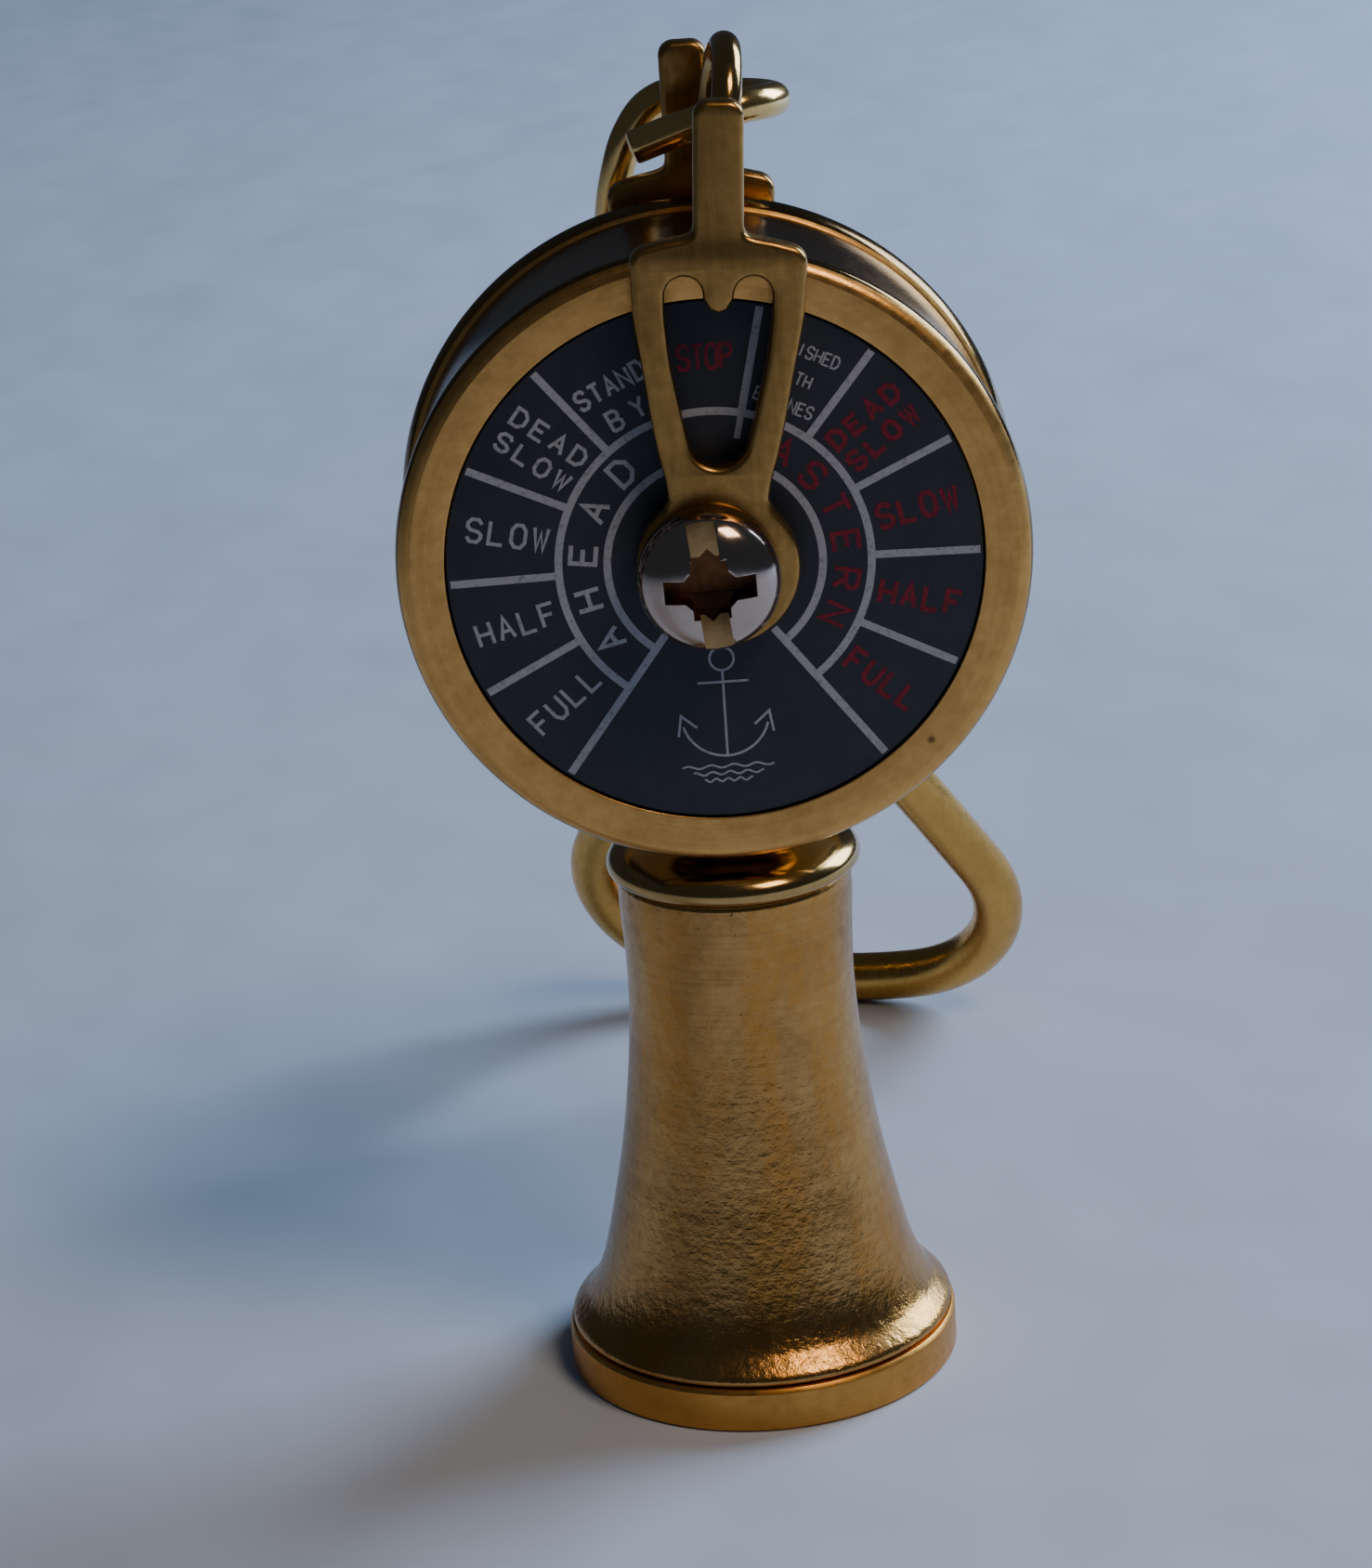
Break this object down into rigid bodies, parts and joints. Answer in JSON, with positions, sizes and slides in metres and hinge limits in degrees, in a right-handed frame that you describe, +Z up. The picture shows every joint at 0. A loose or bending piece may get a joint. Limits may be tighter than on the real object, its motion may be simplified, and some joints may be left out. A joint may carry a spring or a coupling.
{
  "type": "ship engine telegraph key fob",
  "caption": "Miniature ship engine telegraph: dial drum on a bell pedestal, with fork-shaped levers, a wire link, chain links and a key ring.",
  "frame": {"origin": "centre of the foot's flat underside", "axes": "+Z up along the pedestal, front dial faces -Y, +X to the viewer's right"},
  "size_m": [0.0278, 0.0516, 0.0581],
  "materials": {
    "foot_brass": "satin, darker orange brown",
    "satin_brass": "satin turned brass with fine turning marks",
    "polished_brass": "polished, darkened by handling",
    "stud_steel": "plain machined",
    "dial_black": "navy black enamel with grey-white printing and dark red letters",
    "lever_brass": "satin with rounded edges",
    "screw_brass": "polished pan head",
    "wire_brass": "bright drawn wire",
    "key_ring_brass": "satin pale yellow wire"
  },
  "bodies": {
    "stand": {"foot_ring": "foot_brass", "pedestal": "satin_brass", "collar_ring": "polished_brass", "neck_stud": "stud_steel", "drum_shell": "polished_brass", "front_bezel": "satin_brass", "rear_bezel": "satin_brass", "front_dial": "dial_black", "rear_dial": "dial_black"},
    "levers": {"handle_front": "lever_brass", "handle_rear": "lever_brass", "spindle": "satin_brass", "front_spacer": "foot_brass", "rear_spacer": "foot_brass", "front_screw": "screw_brass", "rear_screw": "screw_brass"},
    "open_link": {"hook_link": "wire_brass"},
    "small_ring": {"jump_ring": "polished_brass"},
    "upper_chain": {"chain_link_a": "wire_brass"},
    "lower_chain": {"chain_link_b": "wire_brass"},
    "split_ring": {"key_ring": "key_ring_brass"}
  },
  "joints": [
    {"name": "handle_turn", "type": "hinge", "parent": "stand", "child": "levers", "pos_m": [0, 0, 0.03779], "axis": [0, 1, 0], "range_deg": [-135, 135]},
    {"name": "link_swing", "type": "hinge", "parent": "levers", "child": "open_link", "pos_m": [0.0001, 0.00635, 0.054], "axis": [0, 0, 1], "range_deg": [-10, 10]},
    {"name": "small_ring_swing", "type": "hinge", "parent": "open_link", "child": "small_ring", "pos_m": [0.00135, 0.0017, 0.0546], "axis": [0, 1, 0], "range_deg": [-20, 20]},
    {"name": "upper_chain_swing", "type": "hinge", "parent": "open_link", "child": "upper_chain", "pos_m": [-0.0016, 0.0172, 0.0344], "axis": [-0.2029, -0.7248, -0.6584], "range_deg": [-20, 20]},
    {"name": "lower_chain_swing", "type": "hinge", "parent": "upper_chain", "child": "lower_chain", "pos_m": [0.00029, 0.02404, 0.02629], "axis": [0.9633, -0.2684, -0.0015], "range_deg": [0, 15]},
    {"name": "key_ring_swing", "type": "hinge", "parent": "lower_chain", "child": "split_ring", "pos_m": [0.00219, 0.03089, 0.01816], "axis": [-0.2029, -0.7248, -0.6584], "range_deg": [-20, 20]}
  ]
}
